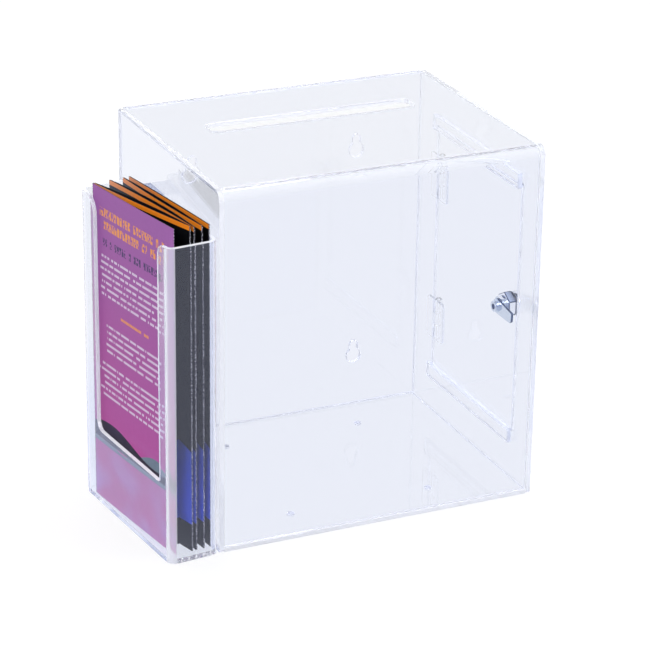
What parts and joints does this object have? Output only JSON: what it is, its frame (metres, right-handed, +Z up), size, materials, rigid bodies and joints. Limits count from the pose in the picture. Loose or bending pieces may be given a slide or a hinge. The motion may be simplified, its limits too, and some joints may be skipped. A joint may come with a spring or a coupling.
{
  "type": "ballot box",
  "caption": "Clear box with a slot in its top, a hinged door with a cam lock in one side, a pocket of leaflets on the other, and keyholes in its back for hanging.",
  "frame": {"origin": "centre of the box's footprint, on the underside of its base; the leaflet pocket is not counted in the footprint", "axes": "+Z up, -Y the front face, +X the side with the door, -X the side with the leaflet pocket"},
  "size_m": [0.2627, 0.1697, 0.2325],
  "materials": {
    "clear_acrylic": "polished clear sheet",
    "clear_hinge_plastic": "moulded clear",
    "clear_moulded_pocket": "moulded clear",
    "lock_chrome": "polished plate",
    "cam_steel": "bright plate",
    "printed_paper": "coated paper, printed"
  },
  "bodies": {
    "box": {"front_top_shell": "clear_acrylic", "back_panel": "clear_acrylic", "base_panel": "clear_acrylic", "left_side_panel": "clear_acrylic", "right_side_frame": "clear_acrylic", "door_stop_bottom": "clear_acrylic", "door_stop_top": "clear_acrylic", "hinge_lower_frame_leaf": "clear_hinge_plastic", "hinge_lower_pin": "clear_hinge_plastic", "hinge_upper_frame_leaf": "clear_hinge_plastic", "hinge_upper_pin": "clear_hinge_plastic", "brochure_pocket": "clear_moulded_pocket", "pocket_block_bottom": "clear_acrylic", "pocket_block_top": "clear_acrylic"},
    "door": {"door_panel": "clear_acrylic", "hinge_lower_door_leaf": "clear_hinge_plastic", "hinge_upper_door_leaf": "clear_hinge_plastic", "lock_housing": "lock_chrome", "lock_nut": "lock_chrome"},
    "lock": {"lock_plug": "lock_chrome", "lock_cam": "cam_steel", "cam_washer": "cam_steel", "cam_screw": "cam_steel"},
    "leaflet_1": {"leaflet_1": "printed_paper"},
    "leaflet_2": {"leaflet_2": "printed_paper"},
    "leaflet_3": {"leaflet_3": "printed_paper"},
    "leaflet_4": {"leaflet_4": "printed_paper"}
  },
  "joints": [
    {"name": "door_swing", "type": "hinge", "parent": "box", "child": "door", "pos_m": [0.1093, 0.0547, 0.1165], "axis": [0, 0, 1], "range_deg": [0, 170]},
    {"name": "lock_turn", "type": "hinge", "parent": "door", "child": "lock", "pos_m": [0.1065, -0.0514, 0.119], "axis": [1, 0, 0], "range_deg": [0, 90]},
    {"name": "leaflet_1_lift", "type": "slide", "parent": "box", "child": "leaflet_1", "axis": [0, 0, 1], "range_m": [0, 0.21]},
    {"name": "leaflet_2_lift", "type": "slide", "parent": "box", "child": "leaflet_2", "axis": [0, 0, 1], "range_m": [0, 0.21]},
    {"name": "leaflet_3_lift", "type": "slide", "parent": "box", "child": "leaflet_3", "axis": [0, 0, 1], "range_m": [0, 0.21]},
    {"name": "leaflet_4_lift", "type": "slide", "parent": "box", "child": "leaflet_4", "axis": [0, 0, 1], "range_m": [0, 0.21]}
  ]
}
